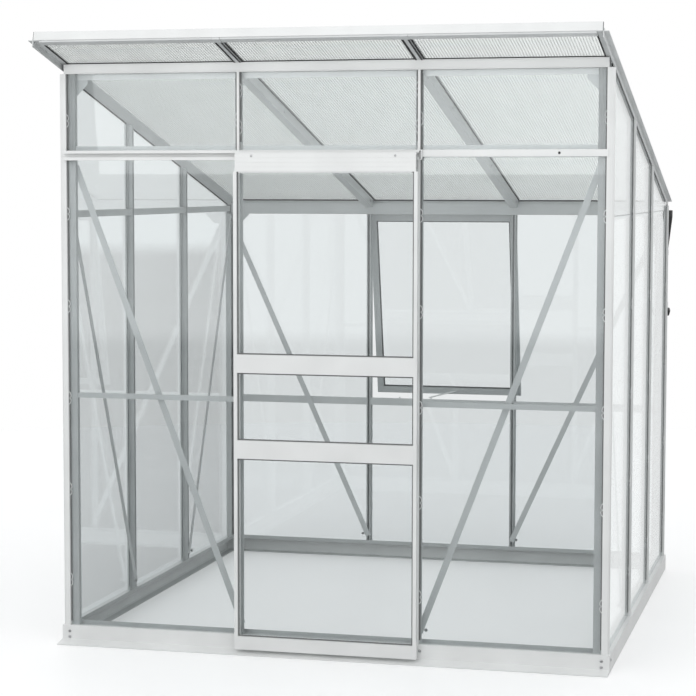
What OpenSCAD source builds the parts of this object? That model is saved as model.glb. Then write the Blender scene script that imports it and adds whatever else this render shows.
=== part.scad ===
// Mono-pitch glass greenhouse: aluminium frame, glazed walls, twin-wall roof sheets,
// sliding door in the high front wall and a top-hung window in the low back wall.
// Origin: middle of the whole outline at ground level. +X to the right, +Y to the back.

/* [Overall] */
// Width of the base frame, left to right
base_w = 1906; // [1500:1:2600]
// Depth of the base frame, front to back
base_d = 1906; // [1500:1:2600]
// Height of the top of the front eave beam
front_h = 1995; // [1850:1:2450]
// Height of the top of the back eave beam
back_h = 1513; // [1250:1:1750]
// How far the roof reaches out past the front of the base
overhang = 238; // [80:1:400]
// Distance from a corner of the base to its bar line
corner_in = 23; // [20:1:40]

/* [Base] */
// Height of the base frame
base_h = 60; // [45:1:120]
// Width of the ledge on top of the base frame
ledge = 42; // [38:1:70]
// Thickness of the base frame's sheet
base_t = 3; // [2:0.5:5]
// Height of the upstand along the inner edge of the ledge
upstand = 12; // [6:1:25]
// How far the door ramp reaches out
ramp_out = 52; // [46:1:80]
// Height of the ramp where it meets the base
ramp_h = 13; // [8:1:15]

/* [Bars] */
// Width of the bars' flange that the glass lies against
flange_w = 26; // [20:1:36]
// Thickness of that flange
flange_t = 2.5; // [1.5:0.5:4]
// Width of the rib between two panes
rib_w = 8; // [5:0.5:12]
// Width of the bolt channel on the inner side
channel_w = 15; // [11:1:18]
// Depth of the bolt channel
channel_d = 17; // [12:1:24]
// Wall of the bolt channel
channel_t = 2; // [1.5:0.5:3]
// Width of the chamfer on the corner posts
corner_cut = 20; // [14:1:22]
// Length of each leg of a corner post
corner_leg = 57; // [45:1:70]

/* [Glass] */
// Thickness of the panes
glass_t = 3; // [3:0.5:5]
// Distance from the base's outer face to the panes' outer face
glass_in = 14; // [10:1:18]
// Clearance round the edge of each pane
pane_gap = 3; // [1:0.5:4]

/* [Front] */
// Height of the front eave beam
eave_h = 30; // [24:1:50]
// Height of the middle of the door track above the ground
track_z = 1688; // [1550:1:1740]
// Height of the door track's section
track_h = 33; // [28:1:45]
// Depth of the door track's section
track_d = 17; // [14:1:24]
// Height of the horizontal bars in the front side bays
front_girt_z = 864; // [600:1:1200]
// Height of the thin horizontal bars' section
girt_h = 17; // [12:1:30]

/* [Door] */
// Width of the door
door_w = 630; // [560:1:680]
// Depth of the door's frame
door_d = 20; // [14:1:26]
// Clearance between the door's back and the track
door_gap = 5; // [5:0.5:10]
// Height of the underside of the door above the ground
door_z = 18; // [15:1:30]
// Height of the door's header
header_h = 64; // [50:1:90]
// Height of the two middle rails
mid_rail_h = 62; // [40:1:90]
// Height of the top of the upper middle rail
upper_rail_z = 1022; // [900:1:1200]
// Height of the top of the lower middle rail
lower_rail_z = 732; // [500:1:800]
// Height of the door's bottom rail
bottom_rail_h = 45; // [35:1:70]
// Width of the door's stiles
stile_w = 12; // [9:1:24]
// Radius of the door's rollers
roller_r = 12; // [9:0.5:12.5]
// Distance from each end of the header to its roller
roller_in = 60; // [30:1:150]
// Travel of the door
door_travel = 605; // [400:1:620]

/* [Back window] */
// Height of the top of the back wall's horizontal bar
sill_z = 685; // [500:1:900]
// Height of the back wall's horizontal bar's section
sill_h = 30; // [20:1:40]
// Height of the back eave beam's inner face
back_beam_h = 47; // [35:1:60]
// Height of the side walls' horizontal bars' section
side_bar_h = 24; // [16:1:40]
// Width of the window
window_w = 628; // [560:1:650]
// Width of the window's frame bars
window_bar = 27; // [18:1:36]
// Depth of the window's frame bars
window_d = 16; // [10:1:22]
// Angle by which the window stands open
window_angle = 11.5; // [2:0.5:20]

/* [Roof] */
// Rise of the roof's underside over the back eave beam
roof_rise = 17; // [8:1:40]
// Width of the roof bars and their caps
bar_w = 26; // [20:1:36]
// Depth of the roof bars below the sheets
bar_h = 8; // [5:1:20]
// Width of the rafters
rafter_w = 32; // [24:1:45]
// Depth of the rafters
rafter_h = 34; // [22:1:45]
// Width of the side rafters
side_rafter_w = 22; // [16:1:30]
// Depth of the side rafters
side_rafter_h = 27; // [20:1:40]
// Distance of the side rafters' front ends from the front of the base
side_rafter_start = 175; // [60:1:300]
// Depth of the end bars' skirt below the front beam's top
skirt_h = 14; // [8:1:30]
// Distance of the skirt from the side of the base
skirt_in = 10; // [6:1:12]
// How far the end bars' lip reaches out past the side of the base
edge_lip = 5; // [2:1:30]
// Thickness of the roof sheets
sheet_t = 6; // [4:1:10]
// Height of the fascia along the roof's front edge
fascia_h = 29; // [22:1:50]

/* [Rainwater] */
// Width of the gutter behind the back wall
gutter_w = 58; // [45:1:90]
// Depth of the gutter
gutter_h = 26; // [18:1:40]
// Radius of the downpipe
pipe_r = 25.5; // [20:0.5:32]
// Length of the downpipe's straight part
pipe_l = 239; // [120:1:700]

/* [Hidden] */
$fn = 48;

aluminium = [0.80, 0.81, 0.82];
white = [0.94, 0.94, 0.94];
clear = [0.78, 0.84, 0.85, 0.4];
black = [0.08, 0.08, 0.08];

bay_w = (base_w - 2 * corner_in) / 3;
bay_d = (base_d - 2 * corner_in) / 3;

// Distances inward from the outer face of the base
rib_in = 4;
glass_back = glass_in + glass_t;
flange_back = glass_back + flange_t;
bar_back = flange_back + channel_d;
brace_t = 3;
brace_w = 22;
brace_in = bar_back;
brace_back = brace_in + brace_t;

// The roof's plane passes through the front beam's upper edge and over the back beam
beam_in = 6;
roof_run = base_d - beam_in - bar_back;
pitch = atan((front_h - back_h - roof_rise) / roof_run);
bar_top = front_h - eave_h;
back_bar_top = back_h - back_beam_h;
side_top_drop = skirt_h / cos(pitch);

// The origin is in the middle between the fascia's front and what reaches furthest back:
// the gutter, the rainwater outlet or the open window
fascia_t = 3;
fascia_z = bar_h - 1;
outlet_r = pipe_r + 16;
outlet_out = outlet_r + 2;
front_out = overhang + fascia_t * cos(pitch) - fascia_z * sin(pitch);
window_h = back_bar_top - sill_z + 2 + 6;
window_out = window_d * cos(window_angle) + window_h * sin(window_angle) - rib_in;
back_out = max(gutter_w, outlet_out + outlet_r, window_out);
y_front = -(front_out + base_d + back_out) / 2 + front_out;
y_back = y_front + base_d;

// Height of the roof's plane, under its bars, at a distance y behind the base's front face
function roof_z(y) = front_h - (y - beam_in) * tan(pitch);

// Places its children on a wall: x along the wall, y inward, z up
module on_wall(side) {
    if (side == "front") translate([-base_w / 2, y_front, 0]) children();
    if (side == "right") translate([base_w / 2, y_front, 0]) rotate([0, 0, 90]) children();
    if (side == "back") translate([base_w / 2, y_back, 0]) rotate([0, 0, 180]) children();
    if (side == "left") translate([-base_w / 2, y_back, 0]) rotate([0, 0, 270]) children();
}

// Extrudes a section drawn as (y, z) along X
module along_x(length) rotate([90, 0, 90]) linear_extrude(length) children();

// Extrudes a section drawn as (x, z) along Y
module along_y(length) translate([0, length, 0]) rotate([90, 0, 0]) linear_extrude(length) children();

// Places its children in the roof's plane: y runs down the slope from the front beam's edge
module on_roof() translate([0, y_front + beam_in, front_h]) rotate([-pitch, 0, 0]) children();

// Everything under the roof's plane, lowered by drop
module below_roof(drop = 0) {
    big = 2 * (base_w + base_d);
    translate([0, 0, -drop]) on_roof() translate([-big / 2, -big / 2, -big]) cube([big, big, big]);
}

// ---------- base ----------
module base_section() polygon([
    [0, 0], [ledge, 0], [ledge, base_t], [base_t, base_t], [base_t, base_h - base_t],
    [ledge, base_h - base_t], [ledge, base_h + upstand], [ledge - base_t, base_h + upstand],
    [ledge - base_t, base_h], [0, base_h]
]);

// One side of the base frame, with mitred ends
module base_side(length) color(white) intersection() {
    along_x(length) base_section();
    linear_extrude(base_h + upstand)
        polygon([[0, 0], [length, 0], [length - ledge, ledge], [ledge, ledge]]);
}

module base_front() on_wall("front") base_side(base_w);
module base_back() on_wall("back") base_side(base_w);
module base_left() on_wall("left") base_side(base_d);
module base_right() on_wall("right") base_side(base_d);

module door_ramp() color(white) on_wall("front") along_x(base_w)
    polygon([[0, 0], [0, ramp_h], [-3, ramp_h], [-ramp_out, 3], [-ramp_out, 0]]);

// ---------- posts ----------
corner_core = flange_back + 13;
leg_channel = corner_leg - channel_w;

// Bolt channel that is open to the inner side; x is centred on the bar line
module channel_section() difference() {
    translate([-channel_w / 2, flange_back]) square([channel_w, channel_d]);
    translate([-channel_w / 2 + channel_t, flange_back]) square([channel_w - 2 * channel_t, channel_d - channel_t]);
    translate([-channel_w / 4, bar_back - channel_t - 1]) square([channel_w / 2, channel_t + 2]);
}

module post_section() {
    translate([-rib_w / 2, rib_in]) square([rib_w, glass_back - rib_in + 0.5]);
    translate([-flange_w / 2, glass_back]) square([flange_w, flange_t]);
    channel_section();
}

// Core of a corner post, with its corner at the origin and its faces along +x and +y
corner_soft = 1.2;
module corner_core_section() {
    rib_end = corner_cut + rib_w;
    difference() {
        polygon([
            [corner_cut, rib_in], [rib_end, rib_in], [rib_end, flange_back], [corner_core, flange_back],
            [flange_back, corner_core], [flange_back, rib_end], [rib_in, rib_end], [rib_in, corner_cut],
            [rib_in + corner_soft, corner_cut / 2], [corner_cut / 2, rib_in + corner_soft]
        ]);
        polygon([
            [corner_cut + 1, rib_in + 2], [rib_end - 2, rib_in + 2], [rib_end - 2, flange_back],
            [flange_back, rib_end - 2], [rib_in + 2, rib_end - 2], [rib_in + 2, corner_cut + 1]
        ]);
    }
}

// One leg of a corner post along +x
module corner_leg_section() {
    rib_end = corner_cut + rib_w;
    translate([rib_end - 1, glass_back]) square([corner_leg - rib_end + 1, flange_t]);
    translate([corner_leg - channel_w / 2, 0]) channel_section();
}

module corner_post(core_top, leg_top) color(aluminium) translate([0, 0, base_h]) {
    linear_extrude(core_top - base_h) corner_core_section();
    linear_extrude(leg_top - base_h) {
        corner_leg_section();
        mirror([1, -1, 0]) corner_leg_section();
    }
}

module corner_post_front_left() on_wall("front") corner_post(bar_top, bar_top);
module corner_post_front_right() mirror([1, 0, 0]) corner_post_front_left();
module corner_post_back_right() on_wall("back")
    corner_post(roof_z(base_d) - side_top_drop, back_bar_top);
module corner_post_back_left() mirror([1, 0, 0]) corner_post_back_right();

// The two posts of a wall that stand between its bays
module wall_posts(pitch_w, top) color(aluminium)
    for (bay = [1, 2]) translate([corner_in + bay * pitch_w, 0, base_h])
        linear_extrude(top - base_h) post_section();

module front_wall_posts() on_wall("front") wall_posts(bay_w, bar_top);
module back_wall_posts() on_wall("back") wall_posts(bay_w, back_bar_top);
module side_wall_posts(side) difference() {
    intersection() {
        on_wall(side) wall_posts(bay_d, front_h);
        below_roof(side_top_drop);
    }
    side_rafter_space();
}
module left_wall_posts() side_wall_posts("left");
module right_wall_posts() side_wall_posts("right");

// ---------- beams and horizontal bars ----------
beam_drop = 20;
beam_back = bar_back + 2.5;
module front_beam_section() difference() {
    polygon([
        [rib_in, bar_top], [bar_back, bar_top], [bar_back, bar_top - beam_drop],
        [beam_back, bar_top - beam_drop], [beam_back, roof_z(beam_back)], [beam_in, front_h],
        [rib_in, front_h]
    ]);
    polygon([
        [rib_in + 2.5, bar_top + 2.5], [bar_back, bar_top + 2.5], [bar_back, roof_z(bar_back) - 2.5],
        [rib_in + 2.5, front_h - 2.5]
    ]);
}

beam_end = corner_cut + 2;
module front_eave_beam() color(white) on_wall("front")
    translate([beam_end, 0, 0]) along_x(base_w - 2 * beam_end) front_beam_section();

gutter_z = back_h - gutter_h;
gutter_t = 2;
module gutter_section() polygon([
    [2, gutter_z], [-gutter_w, gutter_z], [-gutter_w, back_h - 4], [gutter_t - gutter_w, back_h - 4],
    [gutter_t - gutter_w, gutter_z + gutter_t], [0, gutter_z + gutter_t],
    [0, roof_z(base_d)], [2, roof_z(base_d - 2)]
]);

module back_beam_box_section() difference() {
    translate([1, back_bar_top]) square([bar_back - 1, back_beam_h]);
    translate([3.5, back_bar_top + 2.5]) square([bar_back - 6, back_beam_h - 5]);
}

module back_eave_beam() color(aluminium) on_wall("back") {
    translate([beam_end, 0, 0]) along_x(base_w - 2 * beam_end) gutter_section();
    translate([corner_core, 0, 0]) along_x(base_w - 2 * corner_core) back_beam_box_section();
}

// Bars between the bolt channels of neighbouring posts; x runs along the wall
module between_posts(bays, pitch_w) for (bay = bays) {
    start = bay == 0 ? corner_leg : corner_in + bay * pitch_w + channel_w / 2;
    end = bay == 2 ? 3 * pitch_w + 2 * corner_in - corner_leg
        : corner_in + (bay + 1) * pitch_w - channel_w / 2;
    translate([start, 0, 0]) along_x(end - start) children();
}

// Tube section as (y, z), from the flange inward
module tube_section(depth, height, wall = 2) translate([flange_back, 0]) difference() {
    square([depth, height]);
    translate([wall, wall]) square([depth - 2 * wall, height - 2 * wall]);
}

track_top = track_z + track_h / 2;
track_bottom = track_z - track_h / 2;
transom_h = 40;
transom_d = 15;
transom_rise = 15;
module front_transom() color(aluminium) on_wall("front")
    translate([0, 0, track_top + transom_rise - transom_h])
        between_posts([0, 1, 2], bay_w) tube_section(transom_d, transom_h);

track_wall = 2.5;
track_lip = 10;
module track_section() translate([rib_in, track_bottom]) polygon([
    [0, 0], [0, track_h], [-track_d, track_h], [-track_d, track_h - track_lip],
    [2 - track_d, track_h - track_lip], [2 - track_d, track_h - track_wall],
    [-track_wall, track_h - track_wall], [-track_wall, track_wall], [2 - track_d, track_wall],
    [2 - track_d, track_lip], [-track_d, track_lip], [-track_d, 0]
]);

track_end = corner_in + 2 * bay_w + rib_w / 2;
module door_track() color(aluminium) on_wall("front")
    translate([beam_end, 0, 0]) along_x(track_end - beam_end) track_section();

cover_h = 23;
cover_t = 4;
module front_cover_bar() color(white) on_wall("front")
    translate([track_end + 1, rib_in - cover_t, track_top - cover_h])
        cube([base_w - beam_end - track_end - 1, cover_t, cover_h]);

module front_wall_bars() color(aluminium) on_wall("front")
    translate([0, 0, front_girt_z - girt_h / 2])
        between_posts([0, 2], bay_w) tube_section(12, girt_h);

module back_wall_bar() color(aluminium) on_wall("back")
    translate([0, 0, sill_z - sill_h])
        between_posts([0, 1, 2], bay_w) tube_section(transom_d, sill_h);

side_bar_z = back_h - 13;
module side_wall_bar(side) color(aluminium) on_wall(side)
    translate([0, 0, side_bar_z - side_bar_h]) between_posts([0, 1, 2], bay_d)
        tube_section(transom_d, side_bar_h);
module left_wall_bar() side_wall_bar("left");
module right_wall_bar() side_wall_bar("right");

// ---------- braces and gussets ----------
// Flat bar on the inner side of a wall, from (x1, z1) to (x2, z2)
module brace(x1, z1, x2, z2) color(aluminium) translate([x1, brace_in, z1])
    rotate([0, -atan2(z2 - z1, x2 - x1), 0]) translate([0, 0, -brace_w / 2])
        cube([norm([x2 - x1, z2 - z1]), brace_t, brace_w]);

// The two braces of a wall rise from the feet of its middle posts to the corners
module wall_braces(length, pitch_w, top) {
    foot_x = corner_in + pitch_w;
    foot_z = base_h + upstand + 20;
    head_x = leg_channel + channel_w / 2;
    brace(foot_x, foot_z, head_x, top);
    brace(length - foot_x, foot_z, length - head_x, top);
}
module front_braces() on_wall("front") wall_braces(base_w, bay_w, track_bottom - 18);
module back_braces() on_wall("back") wall_braces(base_w, bay_w, back_bar_top - 62);
module left_braces() on_wall("left") wall_braces(base_d, bay_d, side_bar_z - side_bar_h - 20);
module right_braces() on_wall("right") wall_braces(base_d, bay_d, side_bar_z - side_bar_h - 20);

// Gusset plate in the upper corner of a wall, under a beam
// A plate under an eave beam; its corner is cut off at 45 degrees above its edge
module gusset(top, width, height, edge) color(aluminium)
    translate([leg_channel, bar_back + brace_t, top]) rotate([90, 0, 0]) linear_extrude(brace_t)
        polygon([[0, 0], [width, 0], [width, -edge], [width + edge - height, -height], [0, -height]]);
module both_gussets(side, top, width, height, edge) {
    on_wall(side) gusset(top, width, height, edge);
    mirror([1, 0, 0]) on_wall(side) gusset(top, width, height, edge);
}
module corner_gussets() {
    both_gussets("front", bar_top - beam_drop, 54, 65, 14);
    both_gussets("back", back_bar_top, 71, 41, 3);
}

// ---------- roof ----------
roof_front = -(overhang + beam_in) / cos(pitch);
roof_back = (base_d - beam_in + 14) / cos(pitch);
roof_len = roof_back - roof_front;
bar_lines = [-bay_w / 2, bay_w / 2];
sheet_fit = 0.3;
cap_z = bar_h + sheet_t + sheet_fit;
cap_t = 2.5;

// Bars between the sheets: a box below, a web between and a cap above
module roof_bar_section() {
    translate([-bar_w / 2, 0]) square([bar_w, bar_h]);
    translate([-rib_w / 2, bar_h - 1]) square([rib_w, cap_z - bar_h + 2]);
    translate([-bar_w / 2, cap_z]) square([bar_w, cap_t]);
}
module roof_bars() color(aluminium) on_roof() for (x = bar_lines)
    translate([x, roof_front, 0]) along_y(roof_len) roof_bar_section();

// End bars: a skirt with an outer lip, a flange under the sheet and one over it
flange_reach = 33;
cap_reach = 28;
module end_bar_section() {
    skirt_t = 3;
    lip_t = 2.5;
    translate([skirt_in, -skirt_h]) square([skirt_t, skirt_h + cap_z + cap_t]);
    translate([-edge_lip, bar_h - lip_t]) square([flange_reach + edge_lip, lip_t]);
    translate([skirt_in, cap_z]) square([cap_reach - skirt_in, cap_t]);
}
module left_end_bar() color(white) on_roof()
    translate([-base_w / 2, roof_front, 0]) along_y(roof_len) end_bar_section();
module right_end_bar() mirror([1, 0, 0]) left_end_bar();

// The space inside the house between the front and the back beam
module between_beams() {
    tall = 2 * front_h;
    translate([-base_w / 2, y_front + beam_back, 0])
        cube([base_w, base_d - beam_back - bar_back, tall]);
}
module rafter_section() difference() {
    translate([-rafter_w / 2, -rafter_h]) square([rafter_w, rafter_h]);
    translate([2 - rafter_w / 2, 2 - rafter_h]) square([rafter_w - 4, rafter_h - 4]);
}
module rafters() color(aluminium) intersection() {
    on_roof() for (x = bar_lines) translate([x, 0, 0]) along_y(roof_back) rafter_section();
    between_beams();
}

// Side rafters, with a slanted inner face, lie under the end bars' flanges
side_rafter_in = 24;
side_rafter_top = bar_h - 2.5;
module side_rafter_outline(w, h) polygon([[0, -h], [w, 0], [w, side_rafter_top], [0, side_rafter_top]]);
module left_side_rafter() intersection() {
    on_roof() translate([side_rafter_in - base_w / 2, side_rafter_start / cos(pitch), 0])
        along_y(roof_back) difference() {
            side_rafter_outline(side_rafter_w, side_rafter_h);
            translate([2, 0]) square([side_rafter_w - 4, side_rafter_top - 2]);
        }
    between_beams();
}
module side_rafters() color(aluminium) {
    left_side_rafter();
    mirror([1, 0, 0]) left_side_rafter();
}
// Room that the side posts leave for the side rafters
module side_rafter_space() for (side = [0, 1]) mirror([side, 0, 0])
    on_roof() translate([side_rafter_in - base_w / 2, 0, -side_rafter_h])
        cube([2 * bar_back, roof_back, 2 * front_h]);

module roof_fascia() color(white) on_roof()
    translate([skirt_in + 4 - base_w / 2, roof_front - fascia_t, fascia_z])
        cube([base_w - 2 * skirt_in - 8, fascia_t, fascia_h]);

module roof_sheet(x1, x2) color(clear) on_roof()
    translate([x1, roof_front, bar_h]) cube([x2 - x1, roof_len, sheet_t]);
sheet_gap = rib_w / 2 + 1;
sheet_edge = base_w / 2 - skirt_in - 4;
module roof_sheet_left() roof_sheet(-sheet_edge, bar_lines[0] - sheet_gap);
module roof_sheet_middle() roof_sheet(bar_lines[0] + sheet_gap, bar_lines[1] - sheet_gap);
module roof_sheet_right() roof_sheet(bar_lines[1] + sheet_gap, sheet_edge);

// ---------- glass ----------
// Edges of the pane in a bay, along the wall
function pane_start(bay, pitch_w) =
    bay == 0 ? corner_cut + rib_w + pane_gap : corner_in + bay * pitch_w + rib_w / 2 + pane_gap;
function pane_end(bay, pitch_w, length) = length - pane_start(2 - bay, pitch_w);

module pane(bay, pitch_w, length, z1, z2) color(clear)
    translate([pane_start(bay, pitch_w), glass_in, z1])
        cube([pane_end(bay, pitch_w, length) - pane_start(bay, pitch_w), glass_t, z2 - z1]);

pane_bottom = base_h + 2;
module front_glass() on_wall("front") for (bay = [0, 2])
    pane(bay, bay_w, base_w, pane_bottom, track_z - 2);
module clerestory_glass() on_wall("front") for (bay = [0, 1, 2])
    pane(bay, bay_w, base_w, track_z + 2, bar_top - 2);
module back_glass() on_wall("back") {
    pane(0, bay_w, base_w, pane_bottom, back_bar_top - 2);
    pane(1, bay_w, base_w, pane_bottom, sill_z - sill_h / 2);
    pane(2, bay_w, base_w, pane_bottom, back_bar_top - 2);
}
module side_glass(side) intersection() {
    on_wall(side) for (bay = [0, 1, 2]) {
        pane(bay, bay_d, base_d, pane_bottom, side_bar_z - side_bar_h / 2 - 2);
        pane(bay, bay_d, base_d, side_bar_z - side_bar_h / 2 + 2, front_h);
    }
    below_roof(side_top_drop + 4);
}
module left_glass() side_glass("left");
module right_glass() side_glass("right");

// ---------- back window ----------
window_x = base_w / 2 - window_w / 2;

// Places its children in the open window: x along the wall, y inward, z down from the hinge is negative
module on_window() on_wall("back") translate([window_x, rib_in, back_bar_top - 2])
    rotate([-window_angle, 0, 0]) translate([0, -window_d, 0]) children();

pane_groove = 5;
module window_frame() color(aluminium) on_window() {
    cut = 0.3;
    translate([0, 0, -window_bar]) cube([window_w, window_d, window_bar]);
    translate([0, 0, -window_h]) cube([window_w, window_d, window_bar]);
    for (x = [0, window_w - window_bar])
        translate([x, 0, window_bar - window_h + cut])
            cube([window_bar, window_d, window_h - 2 * window_bar - 2 * cut]);
}
module window_glass() color(clear) on_window()
    translate([window_bar + 0.3, window_d / 2 - glass_t / 2, window_bar - window_h + 0.3])
        cube([window_w - 2 * window_bar - 0.6, glass_t, window_h - 2 * window_bar - 0.6]);

// The stay's arm runs from a point on the sill bar to the window's bottom bar
stay_w = 12;
stay_t = 3;
stay_foot = [base_w / 2 + 45, flange_back + transom_d / 2, sill_z + 6];
stay_drop = window_h - window_bar / 2;
stay_head = [
    base_w / 2 - 35, rib_in + 1 - stay_drop * sin(window_angle),
    back_bar_top - 2 - stay_drop * cos(window_angle)
];
module window_stay() color(aluminium) on_wall("back") {
    run = stay_head - stay_foot;
    flat = norm([run[0], run[1]]);
    translate(stay_foot) rotate([0, 0, atan2(run[1], run[0])]) rotate([0, -atan2(run[2], flat), 0])
        translate([0, -stay_w / 2, 0]) cube([norm(run) - 3.5, stay_w, stay_t]);
    for (x = [base_w / 2 + 40, base_w / 2 + 175])
        translate([x, flange_back + transom_d / 2, sill_z]) cylinder(h = 6, r = 3);
}

// ---------- rainwater ----------
outlet_x = base_w / 2 - 36;
outlet_y = y_back + outlet_out;
outlet_rim = 26;
outlet_cone = 136;
pipe_t = 2;
pipe_top = gutter_z - outlet_rim - outlet_cone;
module rainwater_outlet() color(black) translate([outlet_x, outlet_y, pipe_top])
    rotate_extrude() polygon([
        [pipe_r - pipe_t, 0], [pipe_r, 0], [outlet_r, outlet_cone], [outlet_r, outlet_cone + outlet_rim],
        [outlet_r - pipe_t, outlet_cone + outlet_rim], [outlet_r - pipe_t, outlet_cone]
    ]);
// The pipe ends in a wider shoe
shoe_h = 33;
shoe_r = pipe_r + 12;
module rainwater_pipe() color(black) translate([outlet_x, outlet_y, pipe_top - pipe_l])
    rotate_extrude() polygon([
        [pipe_r, pipe_l], [pipe_r, 0], [shoe_r - 3, -2], [shoe_r, -shoe_h * 0.4], [shoe_r - 5, -shoe_h],
        [shoe_r - 8, -shoe_h], [shoe_r - 3, -shoe_h * 0.4], [shoe_r - 5, -5], [pipe_r - pipe_t, -3],
        [pipe_r - pipe_t, pipe_l]
    ]);

// ---------- door ----------
door_back = rib_in - track_d - door_gap;
header_top = track_z + 9;
stile_top = header_top - header_h;
header_in = 6;

// Places its children in the door: x from its left edge, y inward from its front face
module on_door() translate([-door_w / 2, y_front + door_back - door_d, 0]) children();

groove_d = 6;
groove_w = glass_t + 0.6;

// Stile section, x from its outer edge, with a groove for the glass
module stile_section() difference() {
    square([stile_w, door_d]);
    translate([stile_w - groove_d, door_d / 2 - groove_w / 2]) square([groove_d + 1, groove_w]);
}
module door_stiles() color(white) on_door() {
    translate([0, 0, door_z]) linear_extrude(stile_top - door_z) stile_section();
    translate([door_w, 0, door_z]) mirror([1, 0, 0])
        linear_extrude(stile_top - door_z) stile_section();
}

// Hollow rail between the stiles, with grooves where it meets glass
module rail(z_top, height, groove_above, groove_below, from_edge = stile_w) color(white) on_door()
    translate([from_edge, 0, z_top - height]) along_x(door_w - 2 * from_edge) difference() {
        square([door_d, height]);
        translate([2, groove_d + 2]) square([door_d - 4, height - 2 * groove_d - 4]);
        if (groove_above)
            translate([door_d / 2 - groove_w / 2, height - groove_d]) square([groove_w, groove_d + 1]);
        if (groove_below)
            translate([door_d / 2 - groove_w / 2, -1]) square([groove_w, groove_d + 1]);
    }
// The header lies across the tops of both stiles
module door_header() rail(header_top, header_h, false, true, header_in);
module door_middle_rails() {
    rail(upper_rail_z, mid_rail_h, true, true);
    rail(lower_rail_z, mid_rail_h, true, true);
}
module door_bottom_rail() rail(door_z + bottom_rail_h, bottom_rail_h, true, false);

// Panes of the door, each between two rails
module door_pane(z1, z2) color(clear) on_door()
    translate([stile_w - pane_groove, door_d / 2 - glass_t / 2, z1 - pane_groove])
        cube([door_w - 2 * stile_w + 2 * pane_groove, glass_t, z2 - z1 + 2 * pane_groove]);
module door_glass() {
    door_pane(door_z + bottom_rail_h, lower_rail_z - mid_rail_h);
    door_pane(lower_rail_z, upper_rail_z - mid_rail_h);
    door_pane(upper_rail_z, stile_top);
}

roller_t = 8;
roller_z = track_bottom + track_wall + 0.3 + roller_r;
axle_r = 3;
module door_rollers() color(black) on_door() for (x = [roller_in, door_w - roller_in])
    translate([x, door_d, roller_z]) rotate([-90, 0, 0]) {
        cylinder(h = door_gap + track_d - track_wall - 2.5, r = axle_r);
        translate([0, 0, door_gap + 4]) cylinder(h = roller_t, r = roller_r);
    }

base_front();
base_back();
base_left();
base_right();
door_ramp();
corner_post_front_left();
corner_post_front_right();
corner_post_back_left();
corner_post_back_right();
front_wall_posts();
back_wall_posts();
left_wall_posts();
right_wall_posts();
front_eave_beam();
front_transom();
door_track();
front_cover_bar();
front_wall_bars();
back_eave_beam();
back_wall_bar();
left_wall_bar();
right_wall_bar();
front_braces();
back_braces();
left_braces();
right_braces();
corner_gussets();
left_end_bar();
right_end_bar();
roof_bars();
rafters();
side_rafters();
roof_fascia();
roof_sheet_left();
roof_sheet_middle();
roof_sheet_right();
front_glass();
clerestory_glass();
back_glass();
left_glass();
right_glass();
window_frame();
window_glass();
window_stay();
rainwater_outlet();
rainwater_pipe();
door_stiles();
door_header();
door_middle_rails();
door_bottom_rail();
door_glass();
door_rollers();
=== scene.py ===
"""Glass greenhouse: finishes, roof sheets, seals, clips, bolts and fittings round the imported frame."""

import math

import bpy
from mathutils import Matrix, Vector


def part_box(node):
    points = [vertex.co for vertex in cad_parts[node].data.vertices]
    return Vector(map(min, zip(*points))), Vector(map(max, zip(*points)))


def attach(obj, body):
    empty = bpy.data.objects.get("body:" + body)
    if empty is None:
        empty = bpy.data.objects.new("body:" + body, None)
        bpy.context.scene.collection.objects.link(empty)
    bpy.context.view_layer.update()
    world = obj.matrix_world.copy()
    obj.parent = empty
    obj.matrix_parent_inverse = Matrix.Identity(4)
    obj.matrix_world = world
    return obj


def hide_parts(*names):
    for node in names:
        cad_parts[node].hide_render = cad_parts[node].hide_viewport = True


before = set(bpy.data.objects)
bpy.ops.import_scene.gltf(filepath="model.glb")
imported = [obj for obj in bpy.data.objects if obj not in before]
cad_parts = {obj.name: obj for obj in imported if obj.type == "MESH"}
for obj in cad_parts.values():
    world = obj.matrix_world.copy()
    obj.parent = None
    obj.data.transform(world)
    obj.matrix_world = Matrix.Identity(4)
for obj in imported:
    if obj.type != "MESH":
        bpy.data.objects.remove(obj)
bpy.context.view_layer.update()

bl_info = {
    "name": "Glass Greenhouse",
    "version": (1, 0, 0),
    "blender": (4, 5, 0),
    "location": "View3D > Sidebar > Greenhouse",
    "description": "Finishes and fittings for a mono-pitch glass greenhouse",
    "category": "Object",
}

HOUSE = "house"
DOOR = "door"

# ---------- places read from the frame ----------


def corners(node):
    """Lowest and highest corner of a frame node, as vectors."""
    low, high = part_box(node)
    return Vector(low), Vector(high)


HALF_WIDTH = corners("base_back")[1].x
FRONT_Y = corners("base_front")[0].y
BACK_Y = corners("base_back")[1].y
MIDDLE_Y = (FRONT_Y + BACK_Y) / 2
HALF_DEPTH = (BACK_Y - FRONT_Y) / 2
BEAM_LOW, BEAM_HIGH = corners("front_eave_beam")
POSTS_LOW, POSTS_HIGH = corners("front_wall_posts")
LEDGE_Z = POSTS_LOW.z
PANE_IN = corners("front_glass")[0].y - FRONT_Y
FLANGE_W = 0.026
RIB_W = 0.008
POST_LINE = POSTS_HIGH.x - FLANGE_W / 2
CORNER_LINE = HALF_WIDTH - 0.023
BEAM_BOTTOM = POSTS_HIGH.z
BACK_BEAM_LOW = corners("back_eave_beam")[0]
SHEET_T = 0.006
GLASS_T = 0.003
# A clearance between faces that would otherwise meet
GAP = 0.0001
# How far the roof bars reach below the sheets' underside
SHEET_RAISE = 0.008
LIP_LENGTH = 0.034
END_BAR_IN = HALF_WIDTH - 0.0332
# How far a roof bar, with a little room beside it, reaches from its line
ROOF_BAR_REACH = FLANGE_W / 2 + 0.0006
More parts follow.
